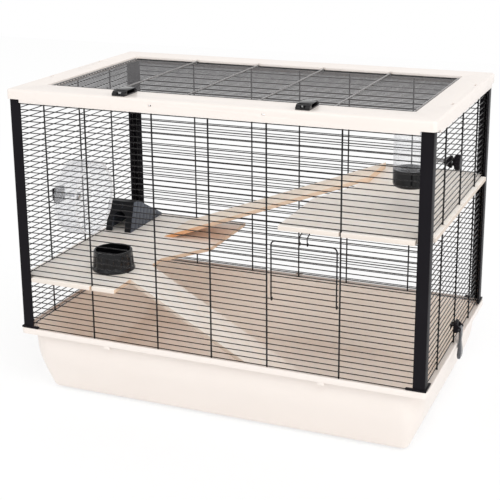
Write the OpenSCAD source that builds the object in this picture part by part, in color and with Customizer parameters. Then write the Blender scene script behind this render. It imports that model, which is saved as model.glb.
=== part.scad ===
// Wire cage for ferrets and other small climbers: deep moulded tray, welded wire walls
// between four corner posts, moulded top frame with a wire lid, two wooden shelves with
// ramps, a clear running wheel, a sleeping house, a food bowl and a gravity feeder.
// Millimetres, +Z up, front face towards -Y, origin at the bottom centre of the tray.

/* [Cage] */
// Outer length of tray rim and top frame, left to right
cage_length = 800; // [700:1:1000]
// Outer depth of tray rim and top frame, front to back
cage_depth = 480; // [420:1:600]
// Height from the floor to the top of the top frame
cage_height = 605; // [560:1:760]

/* [Tray] */
// Height of the tray rim above the floor
tray_height = 138; // [110:1:180]
// Wall thickness of the tray
tray_wall = 3; // [2:0.5:5]
// Height of the vertical band round the tray rim
band_height = 11.5; // [8:0.5:20]
// Thickness of that band
band_wall = 3.5; // [2.5:0.5:5]
// Radius of the rim corners
rim_radius = 10; // [6:1:20]
// Set-back of the tub corner centres from the rim edges
tub_corner = 52; // [50:1:70]
// Corner radius of the tub under the rim
tub_top_radius = 42; // [36:1:44]
// Corner radius of the tub at its knee, where the wall turns inwards
tub_knee_radius = 39; // [30:1:42]
// Corner radius of the tub at its belly
tub_belly_radius = 27; // [20:1:32]
// Radius of the curve round the tub's bottom
tub_bottom_radius = 14; // [8:1:18]
// Height of the feet
foot_height = 3; // [2:0.5:6]
// Radius of each foot
foot_radius = 9; // [6:0.5:14]

/* [Top frame] */
// Height of the frame skirt
frame_height = 24; // [20:1:36]
// Wall thickness of the frame
frame_wall = 3; // [2:0.5:4]
// Width of the frame's front and back bars
frame_front = 62; // [54:1:80]
// Width of the frame's side bars
frame_side = 50; // [44:1:70]
// Radius of the rounded upper edge
frame_edge = 4; // [2:0.5:5]
// Radius of the frame's corners
frame_corner = 8; // [6:0.5:14]
// Depth of the lip round the lid opening
frame_lip = 10; // [6:0.5:16]

/* [Corner posts] */
// Width of each leg of the angle section
post_leg = 21; // [16:0.5:28]
// Thickness of the angle section
post_wall = 2.4; // [1.8:0.1:3]
// Length of the post foot along the rim
post_foot = 36; // [28:1:50]
// Height of the post foot
post_foot_height = 3.5; // [2:0.5:6]

/* [Wire walls] */
// Spacing of the horizontal wires
row_pitch = 10.75; // [9.5:0.05:14]
// Diameter of the horizontal wires
row_diameter = 1.8; // [1.4:0.1:2.4]
// Diameter of the upright wires
upright_diameter = 3; // [2.4:0.1:4]
// Position of the inner uprights of front and back, from the middle
upright_inner = 108; // [90:1:115]
// Position of the outer uprights of front and back, from the middle
upright_outer = 242; // [236:1:280]
// Position of the uprights in the side walls, from the middle
upright_side = 130; // [100:1:170]

/* [Front door] */
// Lowest row of the doorway, which the door hangs on
door_hinge_row = 12; // [10:1:14]
// Number of horizontal wires in the door
door_rows = 9; // [7:1:9]
// Diameter of the door frame wire
door_wire = 2.6; // [2:0.1:3.2]
// Outer gap between the doorway uprights and the door frame
door_margin = 7; // [5.5:0.5:10]
// Diameter of the door latch wire
latch_wire = 2; // [1.6:0.1:2.4]
// Width of the door latch
latch_width = 14.2; // [10:0.2:20]

/* [Lid] */
// Position of the inner cross wires from the middle
lid_inner = 70; // [50:1:90]
// Position of the outer cross wires from the middle
lid_outer = 208; // [196:1:240]
// Diameter of the lid's hinge rod
hinge_rod = 3; // [2.4:0.1:4]
// Position of the two sliding latches from the middle
slide_place = 172; // [150:1:185]
// Width of a sliding latch
slide_width = 25; // [20:1:30]
// Length of a sliding latch
slide_length = 48; // [40:1:54]
// Height of a sliding latch
slide_height = 11.5; // [9:0.5:16]
// Travel of a sliding latch
slide_travel = 12; // [8:0.5:16]

/* [Shelves and ramps] */
// Thickness of the boards
board = 8; // [6:0.5:8.5]
// Row that the left shelf rests on
left_shelf_row = 9; // [7:1:11]
// Row that the right shelf rests on
right_shelf_row = 24; // [24:1:28]
// How far the shelf tongues reach past the wall wires
tongue = 7; // [4:0.5:9]
// Width of the upper ramp
upper_ramp_width = 120; // [90:1:140]
// Width of the lower ramp
lower_ramp_width = 88; // [70:1:110]

/* [Wheel] */
// Outside diameter of the running wheel
wheel_diameter = 146; // [120:1:160]
// Width of the running wheel
wheel_width = 50; // [40:1:60]
// Wall thickness of the running wheel
wheel_wall = 2.5; // [2:0.1:4]
// Number of grip ribs inside the wheel
wheel_ribs = 30; // [18:1:48]
// Radius of the fixed shaft
shaft_radius = 3; // [2.5:0.1:4]

/* [House, bowl and feeder] */
// Width of the house
house_width = 60; // [50:1:70]
// Height of the house
house_height = 62; // [50:1:80]
// Length of the house, front to back
house_length = 148; // [130:1:152]
// Outer radius of the bowl at its foot
bowl_radius = 42; // [34:1:48]
// Height of the bowl
bowl_height = 39; // [30:1:50]
// Number of flutes round the bowl
bowl_flutes = 16; // [10:1:20]
// Outer radius of the feeder jar
jar_radius = 31; // [26:0.5:36]
// Height of the feeder jar above its cup
jar_height = 67; // [50:1:90]
// Radius of the feeder's clamp knob
knob_radius = 13.8; // [10:0.2:18]

/* [Hidden] */
$fn = 48;
wire_fn = 20;          // sides shown on thin wires; the solids are true cylinders
weld_gap = 0.02;       // wires lie this close where they are welded
running_gap = 0.05;    // shaft in a bore
rest_gap = 0.3;        // faces of different bodies that rest on each other
seat_gap = 0.02;       // pieces of one body that rest on each other
half_x = cage_length / 2;
half_y = cage_depth / 2;
row_r = row_diameter / 2;
upright_r = upright_diameter / 2;

// Lines that everything in the walls is set from
post_x = half_x - 5;                       // outer face of the posts
post_y = half_y - 5;
upright_x = post_x - post_wall - 0.1 - upright_r;
upright_y = post_y - post_wall - 0.1 - upright_r;
row_x = upright_x - upright_r - row_r - weld_gap;
row_y = upright_y - upright_r - row_r - weld_gap;
edge_x = post_x - 10.5;                    // uprights behind the posts' legs
edge_y = post_y - 10.5;
ledge_z = tray_height - 3.5;               // channel that the walls stand in
frame_z = cage_height - frame_height;
plate_z = cage_height - frame_wall;        // underside of the frame's top plate
row_zero = ledge_z + 1.8;
function row_z(k) = row_zero + row_pitch * k;
row_count = floor((frame_z + 9 - row_zero) / row_pitch) + 1;
opening_x = half_x - frame_side;
opening_y = half_y - frame_front;

// Doorway and door
door_top_row = door_hinge_row + door_rows + 1;
door_left = upright_inner + door_margin + door_wire / 2;
door_right = upright_outer - door_margin + door_wire / 2 - 0.3;
door_plane = row_y + row_r + rest_gap + door_wire / 2;
door_bottom_z = row_z(door_hinge_row);
door_top_z = row_z(door_top_row);
door_bend = 8;
latch_x = (door_left + door_right) / 2 - latch_width / 2;
latch_rise = row_pitch + 1.15;
latch_reach = 13.35;
latch_slope = 20;

// Lid
lid_row_z = plate_z - 2;
lid_cross_z = lid_row_z + row_r + weld_gap + upright_r;
lid_front_z = lid_cross_z - 2 * upright_r - weld_gap;
lid_start = -(opening_y - 6);
lid_count = floor((2 * opening_y - 21) / row_pitch) + 1;
lid_half = opening_x - 4;
rod_r = hinge_rod / 2;
ring_wall = 2.6;
ring_outer = rod_r + running_gap + ring_wall;
rod_z = lid_cross_z - rod_r - running_gap - upright_r;
rod_y = opening_y - 2.2;
hinge_slot = 5;

// Sliding latches on the front bar
slide_y = -half_y + 9;
slot_front = -half_y + 17.7;
stem_length = 12;
stem_width = 8;

// Shelves
left_board_z = row_z(left_shelf_row) + row_r + seat_gap;
left_top = left_board_z + board;
right_board_z = row_z(right_shelf_row) + row_r + seat_gap;
right_top = right_board_z + board;
shelf_x = row_x - row_r - 0.4;             // shelf edge inside the walls
shelf_y = row_y - row_r - 0.4;
tongue_x = upright_x + tongue;
tongue_y = upright_y + tongue;
// edges towards the middle, and where their slanted parts start and end
left_front_edge = -(half_x - 208);
left_back_edge = -(half_x - 273);
left_slant_from = -(half_y - 195);
left_slant_to = half_y - 185;
right_front_edge = half_x - 269;
right_back_edge = half_x - 222;
right_slant_from = -(half_y - 180);
right_slant_to = half_y - 190;
upper_ramp_y = half_y - 156;
upper_foot_x = -(half_x - 149);
upper_slope = (right_top - left_top) / (right_back_edge + 8 - (upper_foot_x + 22));
lower_ramp_y = -(half_y - 65);
lower_slope = 0.56;
// the lower ramp's front corner stands where the floor starts to curve up
ramp_overhang = max(0, half_y - 65 - (half_y - tub_corner));
ramp_foot_z = foot_height + tub_bottom_radius + rest_gap
    - sqrt(pow(tub_bottom_radius - tray_wall, 2) - pow(ramp_overhang, 2));

// Wheel
wheel_r = wheel_diameter / 2;
wheel_y = -(half_y - 135);
wheel_z = row_z(22) - 0.8;
wheel_back = -(row_x - 36.65);
mount_x = -(row_x - row_r) + 0.1;
mount_front = mount_x + 10;
hub_r = 9;
cap_r = 7;

// House, bowl, feeder
house_wall = 2;
house_x = -(row_x - row_r) + 1.6;
house_y = half_y - house_length - 14;
house_lean = 20;       // the doorway wall leans back by this much
house_ridge = 40;      // where the flat roof ends and the slope starts

house_z = left_top + rest_gap;
bowl_x = -(half_x - 148);
bowl_y = -(half_y - 110);
bowl_z = left_top + rest_gap;
bowl_wall = 4;
jar_x = row_x - 74.58;
jar_y = -(half_y - 180);
cup_height = 33;
jar_wall = 2;
cup_wall = 2.5;
neck = 8;              // part of the jar that plugs into the cup
feeder_z = row_z(33) + row_pitch / 2;   // clamp between two wires
jar_z = feeder_z - 18.4;
feeder_rod_r = 3;

// Side clips
clip_pin_z = row_z(3) - 2.55;
clip_pin_x = upright_x + upright_r + 10;
clip_pin_r = 1.5;
clip_half = 9;
ear = 2.5;
lever_half = 7.2;

cream = [0.97, 0.94, 0.91];
black_plastic = [0.14, 0.14, 0.16];
wire_black = [0.10, 0.10, 0.11];
wood = [0.93, 0.84, 0.74];
clear = [0.80, 0.86, 0.90, 0.45];
steel = [0.72, 0.73, 0.75];

// ---------- helpers ----------

module wire_x(x0, x1, y, z, r) {
    translate([x0, y, z]) rotate([0, 90, 0]) cylinder(r = r, h = x1 - x0, $fn = wire_fn);
}
module wire_y(x, y0, y1, z, r) {
    translate([x, y0, z]) rotate([-90, 0, 0]) cylinder(r = r, h = y1 - y0, $fn = wire_fn);
}
module wire_z(x, y, z0, z1, r) {
    translate([x, y, z0]) cylinder(r = r, h = z1 - z0, $fn = wire_fn);
}
// straight wire between two points
module strut(a, b, r) {
    d = b - a;
    l = norm(d);
    translate(a) rotate([0, acos(d[2] / l), atan2(d[1], d[0])])
        cylinder(r = r, h = l, $fn = wire_fn);
}
// plate with rounded corners, hx and hy are half sizes
module rounded(hx, hy, r) {
    square([2 * (hx - r), 2 * hy], center = true);
    square([2 * hx, 2 * (hy - r)], center = true);
    for (i = [-1, 1], j = [-1, 1]) translate([i * (hx - r), j * (hy - r)]) circle(r);
}
// sweeps a profile of [distance out, height] round a rectangle of half sizes cx, cy
module sweep_round(cx, cy) {
    for (i = [0 : 3]) {
        sx = (i == 0 || i == 3) ? 1 : -1;
        sy = i < 2 ? 1 : -1;
        translate([sx * cx, sy * cy, 0]) rotate([0, 0, 90 * i])
            rotate_extrude(angle = 90) children();
    }
    for (s = [-1, 1]) {
        translate([s * cx, -s * cy, 0]) rotate([0, 0, s > 0 ? 0 : 180])
            rotate([90, 0, 0]) mirror([0, 0, 1]) linear_extrude(2 * cy) children();
        translate([s * cx, s * cy, 0]) rotate([0, 0, s > 0 ? 90 : 270])
            rotate([90, 0, 0]) mirror([0, 0, 1]) linear_extrude(2 * cx) children();
    }
}
// ring for a wire curled round a rod along X
module curl(x, y, z, bore, outer, width) {
    translate([x - width / 2, y, z]) rotate([0, 90, 0]) difference() {
        cylinder(r = outer, h = width);
        translate([0, 0, -1]) cylinder(r = bore, h = width + 2);
    }
}

// ---------- tray ----------

// corner of the tub's inner face where the wall turns from one slope to another
function inner_corner(p, a, b) =
    p + tray_wall / cos((b - a) / 2) * [-sin((a + b) / 2), cos((a + b) / 2)];

// wall of the tub: steep at the top, turning inwards at a knee and a belly, and
// round at the bottom
module tub_profile() {
    r = tub_bottom_radius;
    middle = [0, foot_height + r];
    belly = [tub_belly_radius, 0.326 * tray_height];
    knee = [tub_knee_radius, 0.58 * tray_height];
    top = [tub_top_radius, tray_height - band_height];
    turn = atan2(belly[1] - middle[1], belly[0]) - acos(r / norm(belly - middle));
    low = turn + 90;
    high = atan2(knee[1] - belly[1], knee[0] - belly[0]);
    steep = atan2(top[1] - knee[1], top[0] - knee[0]);
    inner_belly = inner_corner(belly, low, high);
    inner_knee = inner_corner(knee, high, steep);
    ray = [cos(turn), sin(turn)];
    polygon([middle + r * ray, belly, knee, top, [tub_top_radius + 1.2, ledge_z],
             [inner_knee[0] + (ledge_z - inner_knee[1]) / tan(steep), ledge_z],
             inner_knee, inner_belly, middle + (r - tray_wall) * ray]);
    translate(middle) intersection() {
        difference() { circle(r); circle(r - tray_wall); }
        polygon([[0, 0], [0, -2 * r], [2 * r, -2 * r], 2 * r * ray]);
    }
}

module tray() {
    cx = half_x - tub_corner;
    cy = half_y - tub_corner;
    color(cream) {
        sweep_round(cx, cy) tub_profile();
        translate([-cx, -cy, foot_height]) cube([2 * cx, 2 * cy, tray_wall]);
        // ledge that the wire walls stand in
        translate([0, 0, ledge_z - 3]) linear_extrude(3) difference() {
            rounded(half_x, half_y, rim_radius);
            rounded(cx + tub_top_radius - 1, cy + tub_top_radius - 1, tub_top_radius - 1);
        }
        // vertical band round the rim
        translate([0, 0, tray_height - band_height]) linear_extrude(band_height)
            difference() {
                rounded(half_x, half_y, rim_radius);
                rounded(half_x - band_wall, half_y - band_wall, rim_radius - band_wall);
            }
        // lugs under the band, front and back
        for (i = [-1, 1], j = [-1, 1])
            translate([i * 212 - 6, j > 0 ? half_y - 2.5 : -half_y, tray_height - 17])
                cube([12, 2.5, 6]);
        // hook boss in the middle of the back rim
        translate([-8, half_y - band_wall - 3.2, ledge_z - 1]) cube([16, 3.4, 9.5]);
        for (i = [-1, 1], j = [-1, 1])
            translate([i * (cx - 41), j * (cy - 10), 0])
                cylinder(r = foot_radius, h = foot_height + 1);
    }
}

// ---------- top frame and posts ----------

module frame_edge_profile() {
    r = frame_corner;
    difference() {
        union() {
            translate([0, frame_z]) square([r, frame_height - frame_edge]);
            translate([0, frame_z]) square([r - frame_edge, frame_height]);
            translate([r - frame_edge, cage_height - frame_edge]) circle(frame_edge);
        }
        translate([-1, frame_z - 1])
            square([r - frame_wall + 1, frame_height - frame_wall + 1]);
    }
}

module top_frame() {
    cx = half_x - frame_corner;
    cy = half_y - frame_corner;
    color(cream) difference() {
        union() {
            sweep_round(cx, cy) frame_edge_profile();
            translate([0, 0, plate_z]) linear_extrude(frame_wall) difference() {
                square([2 * cx, 2 * cy], center = true);
                rounded(opening_x, opening_y, 3);
            }
            // lip round the lid opening
            translate([0, 0, cage_height - frame_lip]) linear_extrude(frame_lip)
                difference() {
                    rounded(opening_x + frame_wall, opening_y + frame_wall, 5);
                    rounded(opening_x, opening_y, 3);
                }
            // rests for the front wire of the lid
            for (i = [-1, 1])
                translate([i * slide_place - 9, -opening_y - 1,
                           lid_front_z - upright_r - rest_gap - 3])
                    cube([18, 10, 3]);
        }
        // skirt cut away over each post
        for (i = [-1, 1], j = [-1, 1])
            translate([i > 0 ? post_x - post_leg - 1 : -half_x - 1,
                       j > 0 ? post_y - post_leg - 1 : -half_y - 1, frame_z - 1])
                cube([post_leg + 7, post_leg + 7, 7]);
        // slots for the side and front snap hooks
        for (i = [-1, 1], j = [-1, 1]) {
            translate([i * (half_x - 8.5) - 2, j * 93 - 6.5, plate_z - 1])
                cube([4, 13, frame_wall + 2]);
            translate([i * 106 - 3, j * (half_y - 1) - 3, cage_height - 12])
                cube([6, 6, 3]);
        }
        // guide slots of the sliding latches
        for (i = [-1, 1])
            translate([i * slide_place - stem_width / 2 - rest_gap, slot_front,
                       plate_z - 1])
                cube([stem_width + 2 * rest_gap,
                      stem_length + slide_travel + 2 * rest_gap, frame_wall + 2]);
        // slots that the lid's hinge curls turn in, and the seats of the hinge rod
        for (x = [-lid_outer, -lid_inner, lid_inner, lid_outer])
            translate([x - 3.5, opening_y - 1, cage_height - frame_lip - 1])
                cube([7, hinge_slot + 1, frame_lip + 2]);
    }
}

module corner_posts() {
    top = plate_z - seat_gap;
    base = tray_height + rest_gap;
    color(black_plastic) for (i = [-1, 1], j = [-1, 1])
        mirror([i < 0 ? 1 : 0, 0, 0]) mirror([0, j < 0 ? 1 : 0, 0]) {
            translate([0, 0, base]) linear_extrude(top - base) difference() {
                translate([post_x - post_leg, post_y - post_leg])
                    square([post_leg, post_leg]);
                translate([post_x - post_leg - 1, post_y - post_leg - 1])
                    square([post_leg + 1 - post_wall, post_leg + 1 - post_wall]);
            }
            translate([0, 0, base]) linear_extrude(post_foot_height) difference() {
                translate([post_x + 3 - post_foot, post_y + 3 - post_foot])
                    square([post_foot, post_foot]);
                translate([post_x - post_foot, post_y - post_foot])
                    square([post_foot - post_wall, post_foot - post_wall]);
            }
        }
}

// ---------- wire walls ----------

module long_uprights(side) {
    for (x = [-edge_x, -upright_outer, -upright_inner, 0, upright_inner, upright_outer,
              edge_x])
        wire_z(x, side * upright_y, ledge_z + rest_gap, plate_z - seat_gap, upright_r);
}
module long_rows(side, from, to) {
    for (k = [from : to])
        wire_x(-(row_x - 1.3), row_x - 1.3, side * row_y, row_z(k), row_r);
}
module end_wall(side) {
    for (k = [0 : row_count - 1])
        wire_y(side * row_x, -(row_y - 1.3), row_y - 1.3, row_z(k), row_r);
    for (y = [-edge_y, -upright_side, 0, upright_side, edge_y])
        wire_z(side * upright_x, y, ledge_z + rest_gap, plate_z - seat_gap, upright_r);
}

module front_wall() {
    color(wire_black) {
        long_uprights(-1);
        long_rows(-1, 0, door_hinge_row);
        long_rows(-1, door_top_row + 1, row_count - 1);
        for (k = [door_hinge_row + 1 : door_top_row]) {
            wire_x(-(row_x - 1.3), upright_inner, -row_y, row_z(k), row_r);
            wire_x(upright_outer, row_x - 1.3, -row_y, row_z(k), row_r);
        }
    }
}
module back_wall() {
    color(wire_black) {
        long_uprights(1);
        long_rows(1, 0, row_count - 1);
    }
}
module left_wall() { color(wire_black) end_wall(-1); }
module right_wall() { color(wire_black) end_wall(1); }

// ---------- front door ----------

module door_frame() {
    r = door_wire / 2;
    bore = row_r + running_gap;
    y = -door_plane;
    color(wire_black) {
        for (s = [-1, 1]) {
            x = s < 0 ? door_left : door_right;
            difference() {
                wire_z(x, y, door_bottom_z - 1, door_top_z - door_bend, r);
                wire_x(x - 4, x + 4, -row_y, door_bottom_z, bore);
            }
            curl(x, -row_y, door_bottom_z, bore, bore + door_wire, door_wire + 0.8);
            // rounded upper corner
            translate([x - s * door_bend, y, door_top_z - door_bend])
                rotate([90, 0, 0]) rotate([0, 0, s < 0 ? 90 : 0])
                    rotate_extrude(angle = 90)
                        translate([door_bend, 0]) circle(r, $fn = wire_fn);
        }
        wire_x(door_left + door_bend, door_right - door_bend, y, door_top_z, r);
    }
}
module door_rows_wires() {
    y = -(door_plane - door_wire / 2 - row_r - weld_gap);
    color(wire_black) for (k = [door_hinge_row + 1 : door_top_row - 1])
        wire_x(door_left - 2.5, door_right + 2.5, y, row_z(k), row_r);
}
module door_latch() {
    r = latch_wire / 2;
    bore = door_wire / 2 + running_gap;
    y = -(door_plane + bore + r);
    top = door_top_z + latch_rise;
    up = latch_reach * tan(latch_slope);
    color(wire_black) {
        for (x = [latch_x, latch_x + latch_width]) {
            difference() {
                wire_z(x, y, door_top_z, top, r);
                wire_x(x - 4, x + 4, -door_plane, door_top_z, bore);
            }
            curl(x, -door_plane, door_top_z, bore, bore + latch_wire, latch_wire + 0.4);
            translate([x, y, top]) sphere(r + 0.02, $fn = wire_fn);
            strut([x, y, top], [x, y + latch_reach, top + up], r);
            translate([x, y + latch_reach, top + up]) sphere(r + 0.02, $fn = wire_fn);
        }
        wire_x(latch_x, latch_x + latch_width, y + latch_reach, top + up, r);
    }
}

// ---------- lid ----------

module lid_wires() {
    color(wire_black) {
        for (j = [1 : lid_count - 1])
            wire_x(-lid_half, lid_half, lid_start + row_pitch * j, lid_row_z, row_r);
        wire_x(-lid_half, lid_half, lid_start - 0.6, lid_front_z, upright_r);
    }
}
module lid_cross_wires() {
    last = lid_start + row_pitch * (lid_count - 1);
    color(wire_black) {
        for (x = [-lid_outer, -lid_inner, lid_inner, lid_outer]) {
            wire_y(x, lid_start - 2.4, rod_y - 1.3, lid_cross_z, upright_r);
            curl(x, rod_y, rod_z, rod_r + running_gap, ring_outer,
                 upright_diameter + 0.4);
        }
        for (x = [-lid_half + upright_r, lid_half - upright_r])
            wire_y(x, lid_start - 2.4, last + 1.2, lid_cross_z, upright_r);
    }
}
module lid_hinge_rod() {
    color(wire_black) wire_x(-opening_x + 1.2, opening_x - 1.2, rod_y, rod_z, rod_r);
}

module slide_latch(side) {
    base = cage_height + 0.2;
    h = slide_height;
    l = slide_length;
    w = slide_width;
    x = side * slide_place;
    color(black_plastic) {
        translate([x, slide_y, base]) difference() {
            intersection() {
                // domed along its length
                translate([-w / 2, 0, 0]) rotate([90, 0, 90]) linear_extrude(w) {
                    square([l, 5]);
                    translate([9, 0]) square([l - 18, h - 1]);
                    translate([9, 0]) intersection() {
                        circle(9);
                        translate([-9, 0]) square([9, 9]);
                    }
                    translate([l - 9, 0]) intersection() {
                        circle(9);
                        square([9, 9]);
                    }
                }
                // domed across its width
                rotate([90, 0, 0]) mirror([0, 0, 1]) linear_extrude(l) intersection() {
                    translate([-w / 2, 0]) square([w, h]);
                    translate([0, h - 34]) circle(34, $fn = 120);
                }
            }
            // finger hole from side to side under the bridge
            translate([-w / 2 - 1, 10, 0]) rotate([90, 0, 90]) linear_extrude(w + 2) {
                translate([3, 5.2]) circle(3);
                translate([l - 23, 5.2]) circle(3);
                translate([3, 2.2]) square([l - 26, 6]);
            }
            // window in the front
            translate([-5, -1, 3]) cube([10, 14, 4]);
        }
        // stem through the frame and the flange that holds it
        translate([x - stem_width / 2, slot_front + rest_gap, plate_z - 0.5])
            cube([stem_width, stem_length, frame_wall + 1]);
        translate([x - 8, slot_front + rest_gap - 2, plate_z - rest_gap - 2])
            cube([16, stem_length + 4, 2]);
    }
}
module lid_latch_left() { slide_latch(-1); }
module lid_latch_right() { slide_latch(1); }

// ---------- shelves and ramps ----------

// outline of a shelf; its tongues pass between the wall wires and are notched round
// the uprights
module shelf_outline(points, side, front_from, front_to, back_from, back_to, ups) {
    notch = upright_r + 0.4;
    difference() {
        union() {
            polygon(points);
            translate([min(front_from, front_to), -tongue_y])
                square([abs(front_to - front_from), 20]);
            translate([min(back_from, back_to), tongue_y - 20])
                square([abs(back_to - back_from), 20]);
            translate([side > 0 ? tongue_x - 20 : -tongue_x, -(edge_y - 16)])
                square([20, 2 * (edge_y - 16)]);
        }
        for (x = ups, j = [-1, 1])
            translate([x - notch, j > 0 ? upright_y - notch : -tongue_y - 1])
                square([2 * notch, tongue + notch + 1]);
        for (y = [-upright_side, 0, upright_side])
            translate([side > 0 ? upright_x - notch : -tongue_x - 1, y - notch])
                square([tongue + notch + 1, 2 * notch]);
    }
}

module shelf_left() {
    color(wood) translate([0, 0, left_board_z]) linear_extrude(board)
        shelf_outline([[left_front_edge, -shelf_y], [left_front_edge, left_slant_from],
                       [left_back_edge, left_slant_to], [left_back_edge, shelf_y],
                       [-shelf_x, shelf_y], [-shelf_x, -shelf_y]],
                      -1, left_front_edge, -(edge_x - 14), left_back_edge,
                      -(edge_x - 14), [-upright_outer]);
}
module shelf_right() {
    color(wood) translate([0, 0, right_board_z]) linear_extrude(board)
        shelf_outline([[right_front_edge, -shelf_y], [shelf_x, -shelf_y],
                       [shelf_x, shelf_y], [right_back_edge, shelf_y],
                       [right_back_edge, right_slant_to],
                       [right_front_edge, right_slant_from]],
                      1, right_front_edge, edge_x - 14, right_back_edge,
                      edge_x - 14, [upright_outer]);
}

// board from the left shelf up to the right shelf, seen from the front
module ramp_upper() {
    drop = board / cos(atan(upper_slope));
    z0 = left_top + seat_gap;
    step = right_back_edge - seat_gap;
    x0 = upper_foot_x;
    x1 = right_back_edge + 18;
    z1 = right_top + seat_gap;
    color(wood) translate([0, upper_ramp_y, 0]) rotate([90, 0, 0]) mirror([0, 0, 1])
        linear_extrude(upper_ramp_width)
            polygon([[x0, z0], [x1, z0 + upper_slope * (x1 - x0)], [x1, z1],
                     [step, z1], [step, z0 + upper_slope * (step - x0) - drop],
                     [x0 + drop / upper_slope, z0]]);
}

// board from the left shelf down to the tray floor
module ramp_lower() {
    drop = board / cos(atan(lower_slope));
    x0 = left_front_edge + seat_gap;
    z0 = left_top;
    floor_z = ramp_foot_z;
    x1 = x0 + (z0 - drop - floor_z) / lower_slope;
    x2 = x0 + (z0 - floor_z - 2) / lower_slope;
    color(wood) difference() {
        translate([0, lower_ramp_y, 0]) rotate([90, 0, 0]) mirror([0, 0, 1])
            linear_extrude(lower_ramp_width)
                polygon([[x0, z0], [x2, floor_z + 2], [x2, floor_z], [x1, floor_z],
                         [x0, z0 - drop]]);
    }
}

// ---------- side clips ----------

module clip_body(side) {
    x0 = upright_x + upright_r + 0.2;
    x1 = clip_pin_x - 4;
    finger_z = row_z(3) + row_r + 0.6;
    color(black_plastic) mirror([side < 0 ? 1 : 0, 0, 0]) {
        translate([x0, -clip_half, clip_pin_z - 8]) cube([x1 - x0, 2 * clip_half, 20]);
        for (s = [-1, 1]) {
            // ears that hold the pin
            difference() {
                hull() {
                    translate([x0, s > 0 ? clip_half - 0.1 : -clip_half - ear + 0.1,
                               clip_pin_z - 8])
                        cube([2, ear, 20]);
                    translate([clip_pin_x,
                               s > 0 ? clip_half - 0.1 : -clip_half - ear + 0.1,
                               clip_pin_z])
                        rotate([-90, 0, 0]) cylinder(r = 4, h = ear, $fn = 32);
                }
                wire_y(clip_pin_x, -clip_half - 5, clip_half + 5, clip_pin_z,
                       clip_pin_r + running_gap);
            }
            // hooks over a wire of the wall, one each side of the upright
            translate([0, s > 0 ? 3.2 : -8.2, 0]) {
                translate([row_x - row_r - 2.3, 0, finger_z])
                    cube([x0 - row_x + row_r + 2.4, 5, 3]);
                translate([row_x - row_r - 2.3, 0, finger_z - 6]) cube([1.8, 5, 6.5]);
            }
        }
    }
}
module clip_body_left() { clip_body(-1); }
module clip_body_right() { clip_body(1); }

// lever: barrel on the pin, waisted strap and a thick spoon-shaped grip
module clip_lever(side) {
    grip = lever_half + 2.5;
    end = -62.5;
    color(black_plastic) mirror([side < 0 ? 1 : 0, 0, 0])
        translate([clip_pin_x, 0, clip_pin_z]) {
            intersection() {
                // shape seen from the front
                translate([0, grip, 0]) rotate([90, 0, 0]) linear_extrude(2 * grip)
                    union() {
                        circle(3.6);
                        polygon([[-1, 0], [3.6, 0], [4.6, -12], [3.4, -26], [4.8, -40],
                                 [5.4, -50], [4.6, -58], [1.8, end - 0.1],
                                 [-0.4, end - 0.1], [-1.7, -56], [-2, -50], [-1.6, -42],
                                 [-0.6, -26]]);
                    }
                // shape seen from the side
                translate([-6, 0, 0]) rotate([90, 0, 90]) linear_extrude(14) {
                    polygon([[-lever_half, 5], [lever_half, 5], [5.6, -24],
                             [grip, end + grip], [-grip, end + grip], [-5.6, -24]]);
                    translate([0, end + grip]) circle(grip);
                }
            }
            wire_y(0, -clip_half - ear, clip_half + ear, 0, clip_pin_r);
        }
}
module clip_lever_left() { clip_lever(-1); }
module clip_lever_right() { clip_lever(1); }

// ---------- wheel ----------

module wheel_mount() {
    h = 2 * row_pitch + 6.5;
    color(black_plastic) {
        difference() {
            translate([mount_x, wheel_y - 13, wheel_z - h / 2])
                cube([mount_front - mount_x, 26, h]);
            wire_x(mount_x - 1, mount_front + 1, wheel_y, wheel_z, shaft_radius + seat_gap);
        }
        // pegs between the wires and the clamp plate outside the wall
        for (s = [-1, 1])
            translate([-(row_x + row_r + 2.6), wheel_y - 7,
                       row_z(22) + s * row_pitch / 2 - 2.5])
                cube([mount_x + row_x + row_r + 3.6, 14, 5]);
        translate([-(row_x + row_r + 2.6), wheel_y - 10, wheel_z - h / 2 + 2])
            cube([2.3, 20, h - 4]);
    }
}
module wheel_shaft() {
    tip = wheel_back + 11.5;
    color(steel) {
        wire_x(mount_x + 2, tip + 1, wheel_y, wheel_z, shaft_radius);
        translate([tip, wheel_y, wheel_z]) rotate([0, 90, 0]) {
            cylinder(r = cap_r, h = 3);
            translate([0, 0, 3]) cylinder(r1 = cap_r, r2 = cap_r - 2, h = 2);
        }
    }
}
// clear drum: closed back disc, running surface with low ribs, rolled open rim
module wheel_drum() {
    inner = wheel_r - wheel_wall;
    color(clear) translate([wheel_back, wheel_y, wheel_z]) rotate([0, 90, 0])
        difference() {
            union() {
                rotate_extrude($fn = 96) {
                    square([wheel_r - 4, wheel_wall]);
                    translate([wheel_r - 4, 4]) intersection() {
                        difference() { circle(4); circle(4 - wheel_wall); }
                        translate([0, -4]) square([4, 4]);
                    }
                    translate([inner, 4]) square([wheel_wall, wheel_width - 5.5]);
                    translate([inner + wheel_wall / 2 + 0.5, wheel_width - 1.8])
                        circle(1.8);
                    square([hub_r, 11]);
                }
                for (i = [0 : wheel_ribs - 1])
                    rotate([0, 0, i * 360 / wheel_ribs])
                        translate([inner - 1.2, -0.9, 5])
                            cube([1.6, 1.8, wheel_width - 9]);
            }
            translate([0, 0, -1]) cylinder(r = shaft_radius + running_gap, h = 20);
        }
}

// ---------- house and bowl ----------

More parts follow.
